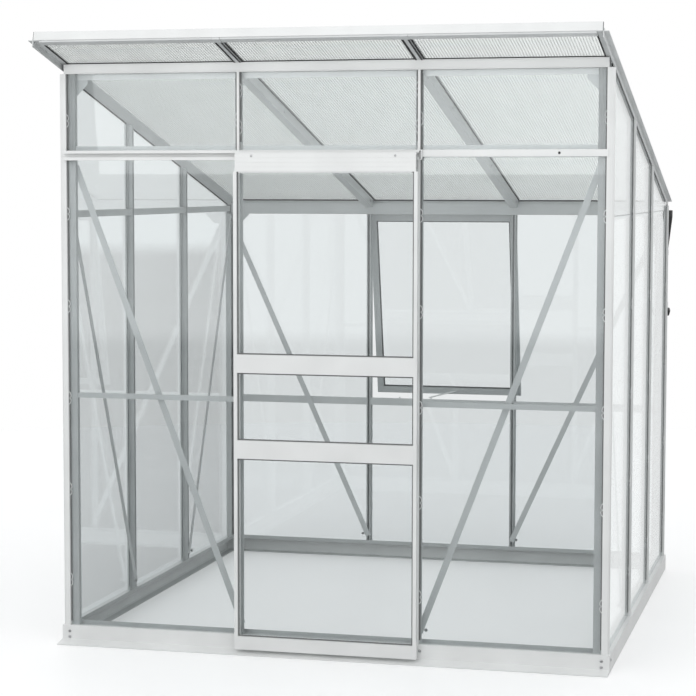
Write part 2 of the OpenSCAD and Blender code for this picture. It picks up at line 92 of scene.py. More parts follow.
# Stretches across the roof between the bars that carry its sheets
ROOF_BAYS = (
    (-END_BAR_IN, -POST_LINE - ROOF_BAR_REACH),
    (-POST_LINE + ROOF_BAR_REACH, POST_LINE - ROOF_BAR_REACH),
    (POST_LINE + ROOF_BAR_REACH, END_BAR_IN),
)
# A first angle, in radians, that tilt() brings nearer to the true one
FIRST_GUESS = 0.2


def tilt(node, thickness):
    """Angle between a sloping flat node's longer side and the level, in the y-z plane."""
    low, high = corners(node)
    angle = FIRST_GUESS
    for _ in range(8):
        rise = high.z - low.z - thickness * math.cos(angle)
        run = high.y - low.y - thickness * math.sin(angle)
        angle = math.atan2(rise, run)
    return angle


SLOPE = tilt("roof_sheet_middle", SHEET_T)
SHEET_LOW, SHEET_HIGH = corners("roof_sheet_middle")
SHEET_LENGTH = (SHEET_HIGH.y - SHEET_LOW.y - SHEET_T * math.sin(SLOPE)) / math.cos(SLOPE)
# Roof coordinates: x across, y down the slope from the sheets' front edge, z up from their underside
ROOF = Matrix.Translation(
    (0, SHEET_LOW.y, SHEET_HIGH.z - SHEET_T * math.cos(SLOPE))
) @ Matrix.Rotation(-SLOPE, 4, "X")


def roof_underside(y):
    """Height of the roof sheets' underside at a y of the frame."""
    start = ROOF.translation
    return start.z - (y - start.y) * math.tan(SLOPE)


def down_the_roof(y):
    """Distance down the slope from the sheets' front edge to a y of the frame."""
    return (y - SHEET_LOW.y) / math.cos(SLOPE)


# Wall coordinates: x along the wall from its middle, y inwards from the base's face, z up
WALLS = {
    "front": Matrix.Translation((0, FRONT_Y, 0)),
    "back": Matrix.Translation((0, BACK_Y, 0)) @ Matrix.Rotation(math.pi, 4, "Z"),
    "left": Matrix.Translation((-HALF_WIDTH, MIDDLE_Y, 0)) @ Matrix.Rotation(-math.pi / 2, 4, "Z"),
    "right": Matrix.Translation((HALF_WIDTH, MIDDLE_Y, 0)) @ Matrix.Rotation(math.pi / 2, 4, "Z"),
}
# Window coordinates: x across, y outwards through the pane, z up along the pane, from its middle
WINDOW_LOW, WINDOW_HIGH = corners("window_glass")
WINDOW_SINE = 0.2
WINDOW_TILT = math.atan2(
    WINDOW_HIGH.y - WINDOW_LOW.y - GLASS_T, WINDOW_HIGH.z - WINDOW_LOW.z - GLASS_T * WINDOW_SINE
)
WINDOW = Matrix.Translation((WINDOW_LOW + WINDOW_HIGH) / 2) @ Matrix.Rotation(WINDOW_TILT, 4, "X")

# ---------- settings ----------


class GreenhouseSizes(bpy.types.PropertyGroup):
    """Sizes of the fittings."""

    flute_pitch: bpy.props.FloatProperty(
        name="Flute pitch", description="Distance between the webs of the roof sheets",
        default=0.0096, min=0.004, max=0.03, unit="LENGTH",
    )
    seal_width: bpy.props.FloatProperty(
        name="Seal width", description="Width of the glazing seal beside each rib",
        default=0.0055, min=0.002, max=0.01, unit="LENGTH",
    )
    clip_wire: bpy.props.FloatProperty(
        name="Clip wire", description="Thickness of the spring clips' wire",
        default=0.0026, min=0.0008, max=0.003, unit="LENGTH",
    )
    nut_width: bpy.props.FloatProperty(
        name="Nut width", description="Width of the nuts across their corners",
        default=0.0115, min=0.006, max=0.02, unit="LENGTH",
    )
    # A black band of painted shade under each side edge of the roof, standing for the side rafter's shaded
    # outer face
    side_shade_band_height: bpy.props.FloatProperty(
        name="Side seal height", description="Height of the black seal under the roof's side edges",
        default=0.022, min=0.01, max=0.04, unit="LENGTH",
    )


class GreenhouseColours(bpy.types.PropertyGroup):
    """Colours of the finishes."""

    white_finish: bpy.props.FloatVectorProperty(
        name="White aluminium", description="Colour of the outer aluminium sections",
        default=(0.755, 0.765, 0.76), size=3, min=0, max=1, subtype="COLOR",
    )
    bare_finish: bpy.props.FloatVectorProperty(
        name="Bare aluminium", description="Colour of the bars and braces",
        default=(0.63, 0.645, 0.645), size=3, min=0, max=1, subtype="COLOR",
    )
    # Darker framing inside the pane line: partly bare inner metal, partly painted shade of the hollows
    # behind the glass
    inner_bare_and_shade_finish: bpy.props.FloatVectorProperty(
        name="Inner faces", description="Colour of the framing inside the line of the panes",
        default=(0.54, 0.555, 0.555), size=3, min=0, max=1, subtype="COLOR",
    )
    glass_tint: bpy.props.FloatVectorProperty(
        name="Glass tint", description="What each face of the glass lets through",
        default=(0.94, 0.951, 0.953), size=3, min=0, max=1, subtype="COLOR",
    )
    sheet_colour: bpy.props.FloatVectorProperty(
        name="Roof sheet", description="Colour of the ribbed roof sheets",
        default=(0.96, 0.967, 0.963), size=3, min=0, max=1, subtype="COLOR",
    )
    # Black of the roof's seals, also used for painted shade: the side bands and the front beam's gap
    rubber_and_shade_colour: bpy.props.FloatVectorProperty(
        name="Rubber", description="Colour of the roof's seals",
        default=(0.018, 0.018, 0.019), size=3, min=0, max=1, subtype="COLOR",
    )
    # Seal grey, darkened to stand also for painted shade in the grooves beside the panes
    seal_and_groove_shade_colour: bpy.props.FloatVectorProperty(
        name="Glazing seal", description="Colour of the seals beside the panes",
        default=(0.15, 0.155, 0.155), size=3, min=0, max=1, subtype="COLOR",
    )
    backdrop_colour: bpy.props.FloatVectorProperty(
        name="Floor", description="Colour of the studio floor",
        default=(0.80, 0.80, 0.80), size=3, min=0, max=1, subtype="COLOR",
    )


def sizes():
    """The fittings' sizes as set in the scene."""
    return bpy.context.scene.greenhouse_sizes


def colours():
    """The finishes' colours as set in the scene."""
    return bpy.context.scene.greenhouse_colours


# ---------- materials ----------


class Finish:
    """The nodes of a new material, or of the world it is given."""

    def __init__(self, name, world=None):
        self.material = world or bpy.data.materials.new(name)
        self.material.name = name
        self.material.use_nodes = True
        self.tree = self.material.node_tree
        self.tree.nodes.clear()
        self.output = self.node("OutputWorld" if world else "OutputMaterial")

    def node(self, kind, **settings):
        """Adds a node. A setting that names an input fills it, any other sets the node itself."""
        new = self.tree.nodes.new("ShaderNode" + kind)
        inputs = {socket.name.lower(): socket for socket in new.inputs}
        for name, value in settings.items():
            socket = inputs.get(name.replace("_", " "))
            if socket:
                socket.default_value = value
            else:
                setattr(new, name, value)
        return new

    def link(self, source, target):
        self.tree.links.new(source, target)

    def surface(self, socket):
        self.link(socket, self.output.inputs["Surface"])
        return self.material

    def pattern(self, scale, stretch=(1, 1, 1), detail=3.0):
        """A noise on the object's own coordinates, drawn out along an axis by stretch."""
        place = self.node("TexCoord")
        turn = self.node("Mapping")
        turn.inputs["Scale"].default_value = stretch
        noise = self.node("TexNoise", scale=scale, detail=detail)
        self.link(place.outputs["Object"], turn.inputs["Vector"])
        self.link(turn.outputs["Vector"], noise.inputs["Vector"])
        return noise.outputs["Fac"]

    def ramped(self, source, span, result):
        """Maps a span of a socket's values on to another."""
        fit = self.node("MapRange")
        for name, value in zip(("From Min", "From Max", "To Min", "To Max"), (*span, *result)):
            fit.inputs[name].default_value = value
        self.link(source, fit.inputs["Value"])
        return fit.outputs["Result"]

    def spread(self, source, low, high):
        """Maps the middle of a noise on to a range."""
        return self.ramped(source, (0.3, 0.7), (low, high))

    def tinted(self, source, dark, light):
        """A colour between two others, by a noise."""
        ramp = self.node("ValToRGB")
        for stop, colour in zip(ramp.color_ramp.elements, (dark, light)):
            stop.color = (*colour, 1)
        self.link(self.spread(source, 0.0, 1.0), ramp.inputs["Fac"])
        return ramp.outputs["Color"]

    def math(self, operation, *values):
        """A sum on sockets or numbers."""
        step = self.node("Math", operation=operation)
        for slot, value in zip(step.inputs, values):
            if isinstance(value, (int, float)):
                slot.default_value = value
            else:
                self.link(value, slot)
        return step.outputs[0]

    def outside_panes(self):
        """One on what stands outside the line of the panes, on any wall, and none inside it, where the
        painted shade of the inner tone lies.
        """
        place = self.node("TexCoord")
        split = self.node("SeparateXYZ")
        self.link(place.outputs["Object"], split.inputs[0])
        across = self.math("SUBTRACT", self.math("ABSOLUTE", split.outputs["X"]), HALF_WIDTH - PANE_IN)
        centred = self.math("ABSOLUTE", self.math("SUBTRACT", split.outputs["Y"], MIDDLE_Y))
        along = self.math("SUBTRACT", centred, HALF_DEPTH - PANE_IN)
        return self.math("GREATER_THAN", self.math("MAXIMUM", across, along), 0.0)

    def either(self, share, first, second):
        """A colour between two colour sockets, by a share."""
        mix = self.node("Mix", data_type="RGBA")
        slots = {socket.identifier: socket for socket in mix.inputs}
        self.link(share, slots["Factor_Float"])
        self.link(first, slots["A_Color"])
        self.link(second, slots["B_Color"])
        return next(socket for socket in mix.outputs if socket.identifier == "Result_Color")

    def mixed(self, share, first, second):
        """Two shaders by a share, which is a number or a socket."""
        both = self.node("MixShader")
        if isinstance(share, float):
            both.inputs["Fac"].default_value = share
        else:
            self.link(share, both.inputs["Fac"])
        for slot, shader in ((1, first), (2, second)):
            self.link(getattr(shader, "outputs", [shader])[0], both.inputs[slot])
        return both.outputs[0]

    def bump(self, source, strength, distance):
        raised = self.node("Bump", strength=strength, distance=distance)
        self.link(source, raised.inputs["Height"])
        return raised.outputs["Normal"]


ALONG = {"x": (0.02, 1, 1), "y": (1, 0.02, 1), "z": (1, 1, 0.02)}


def scaled(colour, factor):
    return tuple(min(c * factor, 1.0) for c in colour)


def aluminium(name, colour, along, metallic, roughness, inner=None):
    """Extruded aluminium: faint die lines along the bar and a soft, cloudy anodised tone.

    With an inner tone, what lies inside the line of the panes takes that darker tone, which is partly the
    bare inner metal and partly painted shade.
    """
    finish = Finish(name)
    lines = finish.pattern(900, ALONG[along], 2.0)
    clouds = finish.pattern(6, (1, 1, 1), 2.0)
    body = finish.node("BsdfPrincipled", metallic=metallic, ior=1.45)
    tone = finish.tinted(clouds, scaled(colour, 0.95), scaled(colour, 1.03))
    # Inside the pane line the tone turns darker: bare inner metal and painted shade together
    if inner:
        within_bare_and_shaded = finish.tinted(clouds, scaled(inner, 0.92), scaled(inner, 1.05))
        tone = finish.either(finish.outside_panes(), within_bare_and_shaded, tone)
    finish.link(tone, body.inputs["Base Color"])
    finish.link(finish.spread(lines, roughness - 0.05, roughness + 0.06), body.inputs["Roughness"])
    finish.link(finish.bump(lines, 0.12, 0.0002), body.inputs["Normal"])
    return finish.surface(body.outputs[0])


def clear_glass():
    """Horticultural glass: a faint green-blue tint and a mirror that grows towards a shallow view."""
    finish = Finish("horticultural_glass")
    waves = finish.pattern(7, (1, 1, 0.4), 2.0)
    see = finish.node("BsdfTransparent", color=(*colours().glass_tint, 1))
    shine = finish.node(
        "BsdfPrincipled", base_color=(0.95, 0.98, 0.98, 1), metallic=1.0, roughness=0.02
    )
    finish.link(finish.bump(waves, 0.008, 0.002), shine.inputs["Normal"])
    turned = finish.node("LayerWeight", blend=0.5)
    share = finish.ramped(finish.math("POWER", turned.outputs["Facing"], 5.0), (0.0, 1.0), (0.0426, 1.0))
    return finish.surface(finish.mixed(share, see, shine))


def sheet_plastic(name, colour, through):
    """Polycarbonate: partly clear and partly milky, so it glows with the light above it."""
    finish = Finish(name)
    haze = finish.pattern(30, (1, 0.05, 1), 2.0)
    see = finish.node("BsdfTransparent", color=(*scaled(colour, 1.03), 1))
    milk = finish.node("BsdfTranslucent")
    gloss = finish.node("BsdfPrincipled", roughness=0.22, ior=1.58)
    tone = finish.tinted(haze, scaled(colour, 0.95), scaled(colour, 1.04))
    finish.link(tone, milk.inputs["Color"])
    finish.link(tone, gloss.inputs["Base Color"])
    body = finish.mixed(0.45, milk, gloss)
    return finish.surface(finish.mixed(1 - through, see, body))


def moulded(name, colour, roughness, grain):
    """Rubber or plastic with a fine moulded grain."""
    finish = Finish(name)
    fine = finish.pattern(grain, (1, 1, 1), 4.0)
    body = finish.node("BsdfPrincipled", ior=1.5)
    finish.link(finish.tinted(fine, scaled(colour, 0.8), scaled(colour, 1.3)), body.inputs["Base Color"])
    finish.link(finish.spread(fine, roughness - 0.06, roughness + 0.08), body.inputs["Roughness"])
    finish.link(finish.bump(fine, 0.2, 0.0003), body.inputs["Normal"])
    return finish.surface(body.outputs[0])


MATERIALS = {}


def material(name):
    """One of the greenhouse's finishes, made when it is first asked for."""
    if name not in MATERIALS:
        tone = colours()
        makers = {
            "glass": clear_glass,
            "sheet_skin": lambda: sheet_plastic("roof_sheet_skin", tone.sheet_colour, 0.84),
            "sheet_web": lambda: sheet_plastic("roof_sheet_web", scaled(tone.sheet_colour, 0.76), 0.14),
            "rubber": lambda: moulded("roof_rubber_and_shade", tone.rubber_and_shade_colour, 0.55, 500),
            # Grey seals, whose grey also stands for painted shade in the grooves and gaps beside the panes
            "grey_rubber_and_groove_shade": lambda: moulded("glazing_rubber_and_groove_shade", tone.seal_and_groove_shade_colour, 0.6, 500),
            "black_plastic": lambda: moulded("black_plastic", (0.022, 0.022, 0.023), 0.38, 260),
            "white_plastic": lambda: moulded("white_plastic", (0.82, 0.82, 0.82), 0.35, 260),
            "zinc": lambda: aluminium("zinc_plate", (0.55, 0.56, 0.57), "x", 1.0, 0.32),
            "spring_wire": lambda: aluminium("spring_wire", (0.86, 0.87, 0.87), "x", 0.15, 0.3),
        }
        for along in ALONG:
            makers["white_" + along] = lambda along=along: aluminium(
                "white_aluminium_" + along, tone.white_finish, along, 0.1, 0.36
            )
            # Framing: white outside the panes, and inside them a darker tone that is partly painted shade
            makers["bare_and_shaded_inside_" + along] = lambda along=along: aluminium(
                "framing_aluminium_shaded_inside_" + along, tone.white_finish, along, 0.1, 0.36, tone.inner_bare_and_shade_finish
            )
            makers["bare_" + along] = lambda along=along: aluminium(
                "bare_aluminium_" + along, tone.bare_finish, along, 0.15, 0.38
            )
        MATERIALS[name] = makers[name]()
    return MATERIALS[name]


# ---------- modelling helpers ----------


def alone():
    """Deselects everything, so that the next operator acts on the new piece only."""
    if bpy.context.object and bpy.context.object.mode != "OBJECT":
        bpy.ops.object.mode_set(mode="OBJECT")
    bpy.ops.object.select_all(action="DESELECT")


def pick(piece):
    """Makes a piece the only one selected, and the active one."""
    alone()
    piece.select_set(True)
    bpy.context.view_layer.objects.active = piece
    return piece


def settle(piece, place=None):
    """Moves a piece to its place and puts that place in its mesh."""
    if place is not None:
        piece.matrix_world = place @ piece.matrix_world
    pick(piece)
    bpy.ops.object.transform_apply(location=True, rotation=True, scale=True)
    return piece


def bar(low, high, bevel=0.0, place=None):
    """A bar between two corners, with its edges eased."""
    low, high = Vector(low), Vector(high)
    alone()
    bpy.ops.mesh.primitive_cube_add(size=1, location=(low + high) / 2, scale=high - low)
    piece = settle(bpy.context.object)
    if bevel:
        bpy.ops.object.mode_set(mode="EDIT")
        bpy.ops.mesh.select_all(action="SELECT")
        bpy.ops.mesh.bevel(offset=bevel, segments=1, affect="EDGES")
        bpy.ops.object.mode_set(mode="OBJECT")
    return settle(piece, place)


def repeat(piece, step, count):
    """Repeats a piece along a step with an array that is applied."""
    pick(piece)
    array = piece.modifiers.new("repeat", "ARRAY")
    array.use_relative_offset = False
    array.use_constant_offset = True
    array.constant_offset_displace = step
    array.count = count
    bpy.ops.object.modifier_apply(modifier=array.name)
    return piece


def joined(pieces):
    """Joins pieces into the first of them."""
    alone()
    for piece in pieces:
        piece.select_set(True)
    bpy.context.view_layer.objects.active = pieces[0]
    if len(pieces) > 1:
        bpy.ops.object.join()
    return settle(bpy.context.object)


def copies(template, places):
    """Puts a copy of the template at each place, joins them and clears the template away."""
    made = []
    for place in places:
        copy = template.copy()
        copy.data = template.data.copy()
        bpy.context.collection.objects.link(copy)
        copy.matrix_world = place
        made.append(copy)
    bpy.data.objects.remove(template)
    return joined(made)


def facing(point, direction, up=(0, 0, 1)):
    """A place whose z axis points along direction and whose y axis leans towards up."""
    z = Vector(direction).normalized()
    up = Vector(up)
    x = up.cross(z)
    if x.length < 1e-6:
        x = Vector((1, 0, 0)).cross(z)
    x.normalize()
    y = z.cross(x)
    turn = Matrix((x, y, z)).transposed().to_4x4()
    return Matrix.Translation(point) @ turn


def trim(piece, point, normal):
    """Cuts away what lies past a plane and closes the cut."""
    pick(piece)
    bpy.ops.object.mode_set(mode="EDIT")
    bpy.ops.mesh.select_all(action="SELECT")
    bpy.ops.mesh.bisect(plane_co=point, plane_no=normal, clear_outer=True, use_fill=True)
    bpy.ops.object.mode_set(mode="OBJECT")
    return piece


def trim_to_roof(piece, drop):
    """Cuts a piece off at a distance below the roof sheets' underside."""
    return trim(piece, ROOF @ Vector((0, 0, -drop)), ROOF.to_3x3() @ Vector((0, 0, 1)))


def finish_piece(piece, name, finish, body=HOUSE):
    """Names a piece, gives it its finish, and lets it ride on a body."""
    piece.name = name
    piece.data.name = name
    piece.data.materials.clear()
    piece.data.materials.append(material(finish))
    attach(piece, body)
    return piece


# ---------- operators ----------

WHITE_BARS = {
    "door_ramp": "x", "front_cover_bar": "x", "front_eave_beam": "x", "roof_fascia": "x",
    "door_track": "x", "door_stiles": "z", "door_header": "x", "door_middle_rails": "x",
    "door_bottom_rail": "x",
}
FRAMING = {"base_front": "x", "base_back": "x", "base_left": "y", "base_right": "y"}
BARE_ALONG_Y = (
    "left_wall_bar", "right_wall_bar", "rafters", "side_rafters", "roof_bars", "left_end_bar",
    "right_end_bar",
)


class GREENHOUSE_OT_finish_frame(bpy.types.Operator):
    """Give every bar, pane and pipe of the frame its finish"""

    bl_idname = "greenhouse.finish_frame"
    bl_label = "Finish Frame"

    def execute(self, context):
        for name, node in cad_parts.items():
            if name.endswith("_glass"):
                finish = "glass"
            elif name.startswith("roof_sheet"):
                finish = "sheet_skin"
            elif name.startswith("rainwater") or name == "door_rollers":
                finish = "black_plastic"
            elif name == "window_stay":
                finish = "white_x"
            elif name in WHITE_BARS:
                finish = "white_" + WHITE_BARS[name]
            elif "post" in name or name in FRAMING:
                finish = "bare_and_shaded_inside_" + FRAMING.get(name, "z")
            elif name in BARE_ALONG_Y:
                finish = "bare_y"
            elif "brace" in name:
                finish = "bare_z"
            else:
                finish = "bare_x"
            for slot in node.material_slots:
                slot.material = material(finish)
        return {"FINISHED"}


class GREENHOUSE_OT_roof_sheets(bpy.types.Operator):
    """Build the twin-wall roof sheets, with their webs between two skins"""

    bl_idname = "greenhouse.roof_sheets"
    bl_label = "Roof Sheets"

    def execute(self, context):
        pitch = sizes().flute_pitch
        skin_t = 0.0006
        web_t = 0.0008
        for side in ("left", "middle", "right"):
            node = "roof_sheet_" + side
            low, high = corners(node)
            left, right = low.x, high.x
            skins = joined([
                bar((left, 0, SHEET_T - skin_t), (right, SHEET_LENGTH, SHEET_T), 0, ROOF),
                bar((left, 0, 0), (right, SHEET_LENGTH, skin_t), 0, ROOF),
            ])
            count = int((right - left - web_t) / pitch) + 1
            spare = (right - left - web_t - (count - 1) * pitch) / 2
            web = bar((left + spare, 0, skin_t), (left + spare + web_t, SHEET_LENGTH, SHEET_T - skin_t))
            webs = settle(repeat(web, (pitch, 0, 0), count), ROOF)
            skins.data.materials.append(material("sheet_skin"))
            webs.data.materials.append(material("sheet_web"))
            sheet = joined([skins, webs])
            sheet.name = sheet.data.name = "ribbed_sheet_" + side
            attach(sheet, HOUSE)
            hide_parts(node)
        return {"FINISHED"}


# Where the bays of a wall begin and end
EDGES = (-CORNER_LINE, -POST_LINE, POST_LINE, CORNER_LINE)
# A rib's place on a wall, and the sides of it that have panes
RIBS = ((-CORNER_LINE, (1,)), (-POST_LINE, (-1, 1)), (POST_LINE, (-1, 1)), (CORNER_LINE, (-1,)))


def seam_lines(wall):
    """Where a wall's panes meet ribs: the rib's line, the way to the pane, and the seam's two ends."""
    top = BACK_BEAM_LOW.z if wall == "back" else BEAM_BOTTOM
    lines = []
    for line, ways in RIBS:
        for way in ways:
            low, high = LEDGE_Z, top
            towards_middle = abs(line) < CORNER_LINE and line * way < 0
            if wall == "front" and towards_middle:
                low = corners("front_transom")[1].z
            if wall == "back" and towards_middle:
                high = corners("back_wall_bar")[1].z
            lines.append((line, way, low, high))
    return lines


class GREENHOUSE_OT_glazing_seals(bpy.types.Operator):
    """Lay the grey seals between the ribs and the panes; their grey is partly painted shade of the grooves
    there
    """

    bl_idname = "greenhouse.glazing_seals"
    bl_label = "Glazing Seals"

    def execute(self, context):
        width = sizes().seal_width
        proud = 0.0006
        thick = 0.0014
        lip_above_ledge = 0.013
        below_roof_bars = 0.016
        depth = PANE_IN - proud - GAP
        for wall, place in WALLS.items():
            strips = []
            for line, way, low, high in seam_lines(wall):
                near = line + way * (RIB_W / 2 + GAP)
                left, right = sorted((near, near + way * width))
                # A grey strip beside each rib: a seal, and painted shade of the groove
                strips.append(bar(
                    (left, depth - thick + proud, low + lip_above_ledge), (right, depth, high - 0.001),
                    0.0003, place,
                ))
            seal = joined(strips)
            if wall in ("left", "right"):
                trim_to_roof(seal, SHEET_RAISE + below_roof_bars)
            finish_piece(seal, wall + "_glazing_seal_and_groove_shade", "grey_rubber_and_groove_shade")
        return {"FINISHED"}


class GREENHOUSE_OT_roof_seals(bpy.types.Operator):
    """Lay the black seals under the roof sheets, and a black band of painted shade along the roof's side
    edges
    """

    bl_idname = "greenhouse.roof_seals"
    bl_label = "Roof Seals"

    def execute(self, context):
        beam_seats = (
            # The front beam's black seal also stands for the shadow gap between beam and sheets: partly
            # painted shade
            ("front_beam_seal_and_shadow_gap", BEAM_LOW.y + 0.003, BEAM_LOW.y + 0.007, BEAM_HIGH.z),
            ("back_beam_seal", BACK_Y - 0.002, BACK_Y + 0.001, corners("back_eave_beam")[1].z),
        )
        for name, near, far, top in beam_seats:
            under = roof_underside(far) - 0.0004
            finish_piece(joined([
                bar((start, near, top + 0.0002), (end, far, under), 0.0005) for start, end in ROOF_BAYS
            ]), name, "rubber")
        seal_w = 0.0045
        start = LIP_LENGTH + 0.001
        strips = []
        for low_edge, high_edge in ROOF_BAYS:
            for left in (low_edge, high_edge - seal_w):
                strips.append(bar(
                    (left, start, -0.0045), (left + seal_w, SHEET_LENGTH - 0.001, -0.0002), 0.0004, ROOF
                ))
        finish_piece(joined(strips), "roof_bar_seals", "rubber")
        gaskets = []
        gasket_w = 0.006
        wall_line = down_the_roof(BEAM_LOW.y) - 0.002
        for line in (-POST_LINE, POST_LINE):
            for left in (line - 0.0125, line + 0.0065):
                gaskets.append(bar(
                    (left, start, -SHEET_RAISE - 0.0012), (left + gasket_w, wall_line, -SHEET_RAISE - GAP),
                    0.0003, ROOF,
                ))
        finish_piece(joined(gaskets), "overhang_gaskets", "rubber")
        # Black bands along the roof's sides: painted shade standing for the shaded outer face of the side
        # rafters
        top = -SHEET_RAISE - 0.007
        for side, way in (("left", -1), ("right", 1)):
            faces = sorted((way * (HALF_WIDTH - 0.0172), way * (HALF_WIDTH - 0.0192)))
            bands = []
            for start, end in zip(EDGES, EDGES[1:]):
                near, far = (down_the_roof(MIDDLE_Y + y) for y in (start + 0.016, end - 0.016))
                bands.append(bar(
                    (faces[0], near, top - sizes().side_shade_band_height), (faces[1], far, top), 0.0005, ROOF
                ))
            finish_piece(joined(bands), side + "_roof_edge_shade_band", "rubber")
        return {"FINISHED"}


class GREENHOUSE_OT_trim_strips(bpy.types.Operator):
    """Add the lips of the fascia and the front beam, the track's end stop and the end caps"""

    bl_idname = "greenhouse.trim_strips"
    bl_label = "Trim Strips"

    def execute(self, context):
        finish_piece(joined([
            bar((start, 0.0006, -0.0075), (end, LIP_LENGTH, -0.0005), 0.0004, ROOF)
            for start, end in ROOF_BAYS
        ]), "fascia_lip", "bare_x")
        reach = corners("roof_fascia")[1].x
        finish_piece(joined([
            bar((x, -0.0032, -0.0005), (x + 0.0015, 0.0042, 0.0275), 0.0004, ROOF)
            for x in (-reach - 0.0017, reach + 0.0002)
        ]), "fascia_end_caps", "grey_rubber_and_groove_shade")
        lips = ((BEAM_BOTTOM + 0.0002, BEAM_BOTTOM + 0.0035), (BEAM_HIGH.z - 0.001, BEAM_HIGH.z + 0.0025))
        finish_piece(joined([
            bar((BEAM_LOW.x, BEAM_LOW.y - 0.002, low), (BEAM_HIGH.x, BEAM_LOW.y - GAP, high), 0.0005)
            for low, high in lips
        ]), "front_beam_lips", "white_x")
        low, high = corners("door_track")
        left, right, front, back = high.x + 0.0006, high.x + 0.009, low.y + 0.002, FRONT_Y - 0.0003
        plate, wall, ease = 0.002, 0.003, 0.0004
        inner = back - plate
        finish_piece(joined([
            bar((left, inner, low.z), (right, back, high.z), ease),
            bar((left, front, high.z - wall), (right, inner, high.z), ease),
            bar((left, front, low.z), (right, inner, low.z + wall), ease),
            bar((right - wall, front, low.z + wall), (right, inner, high.z - wall), ease),
        ]), "track_end_stop", "white_x")
        low, high = corners("back_eave_beam")
        gutter_low = corners("rainwater_outlet")[1].z
        finish_piece(joined([
            bar((x, BACK_Y + 0.0006, gutter_low - 0.0015), (x + 0.0022, high.y, gutter_low + 0.0235), 0.0005)
            for x in (low.x - 0.0024, high.x + 0.0002)
        ]), "gutter_end_caps", "black_plastic")
        return {"FINISHED"}


CLIP_PATH = (
    (0.0006, -0.0225), (0.0062, -0.0165), (0.0086, -0.0065), (0.0028, 0.0),
    (0.0086, 0.0065), (0.0062, 0.0165), (0.0006, 0.0225),
)


def wire_clip():
    """A spring clip of bent wire: a point drawn out along its path, then given its thickness."""
    alone()
    bpy.ops.mesh.primitive_plane_add(size=1)
    bpy.ops.object.mode_set(mode="EDIT")
    bpy.ops.mesh.select_all(action="SELECT")
    bpy.ops.mesh.merge(type="CENTER")
    bpy.ops.transform.translate(value=(CLIP_PATH[0][0], 0, CLIP_PATH[0][1]))
    for (x0, z0), (x1, z1) in zip(CLIP_PATH, CLIP_PATH[1:]):
        bpy.ops.mesh.extrude_region_move(TRANSFORM_OT_translate={"value": (x1 - x0, 0, z1 - z0)})
    bpy.ops.object.mode_set(mode="OBJECT")
    bpy.ops.object.convert(target="CURVE")
    piece = bpy.context.object
    piece.data.bevel_depth = sizes().clip_wire / 2
    piece.data.bevel_resolution = 0
    piece.data.use_fill_caps = True
    bpy.ops.object.convert(target="MESH")
    return settle(bpy.context.object)


class GREENHOUSE_OT_glass_clips(bpy.types.Operator):
    """Spring the wire clips into the grooves beside the panes"""

    bl_idname = "greenhouse.glass_clips"
    bl_label = "Glass Clips"

    def execute(self, context):
        spacing = 0.29
        room_under_roof = 0.06
        before_pane = 0.0031
        for wall, place in WALLS.items():
            places = []
            for line, way, low, high in seam_lines(wall):
                count = max(2, int((high - low) / spacing))
                for i in range(count):
                    height = low + (high - low) * (i + 0.5) / count
                    spot = Vector((line + way * RIB_W / 2, PANE_IN - before_pane, height))
                    if wall in ("left", "right"):
                        reach = (place @ spot).y
                        if height > roof_underside(reach) - room_under_roof:
                            continue
                    turn = Matrix.Identity(4) if way > 0 else Matrix.Rotation(math.pi, 4, "Y")
                    places.append(place @ Matrix.Translation(spot) @ turn)
            finish_piece(copies(wire_clip(), places), wall + "_glass_clips", "spring_wire")
        return {"FINISHED"}


def nut(radius, height):
    """A hexagonal nut with eased edges and the end of its bolt."""
    alone()
    middle = (0, 0, height / 2)
    bpy.ops.mesh.primitive_cylinder_add(vertices=6, radius=radius, depth=height, location=middle)
    piece = settle(bpy.context.object)
    bpy.ops.object.mode_set(mode="EDIT")
    bpy.ops.mesh.select_all(action="SELECT")
    bpy.ops.mesh.bevel(offset=radius * 0.1, segments=1, affect="EDGES")
    bpy.ops.object.mode_set(mode="OBJECT")
    highest = max(range(len(piece.data.polygons)), key=lambda i: piece.data.polygons[i].center.z)
    for i, face in enumerate(piece.data.polygons):
        face.select = i == highest
    bpy.ops.object.mode_set(mode="EDIT")
    bpy.ops.mesh.select_mode(type="FACE")
    bpy.ops.mesh.inset(thickness=radius * 0.4)
    bpy.ops.mesh.extrude_region_move(TRANSFORM_OT_translate={"value": (0, 0, height * 0.4)})
    bpy.ops.object.mode_set(mode="OBJECT")
    return piece


def dome(radius, height):
    """A round rivet or screw head with a rolled edge."""
    alone()
    middle = (0, 0, height / 2)
    bpy.ops.mesh.primitive_cylinder_add(vertices=16, radius=radius, depth=height, location=middle)
    piece = settle(bpy.context.object)
    for face in piece.data.polygons:
        face.select = face.normal.z > 0.9
    bpy.ops.object.mode_set(mode="EDIT")
    bpy.ops.mesh.select_mode(type="FACE")
    bpy.ops.mesh.bevel(offset=height * 0.8, segments=3, affect="EDGES")
    bpy.ops.object.mode_set(mode="OBJECT")
    bpy.ops.object.shade_smooth_by_angle(angle=0.7)
    return piece


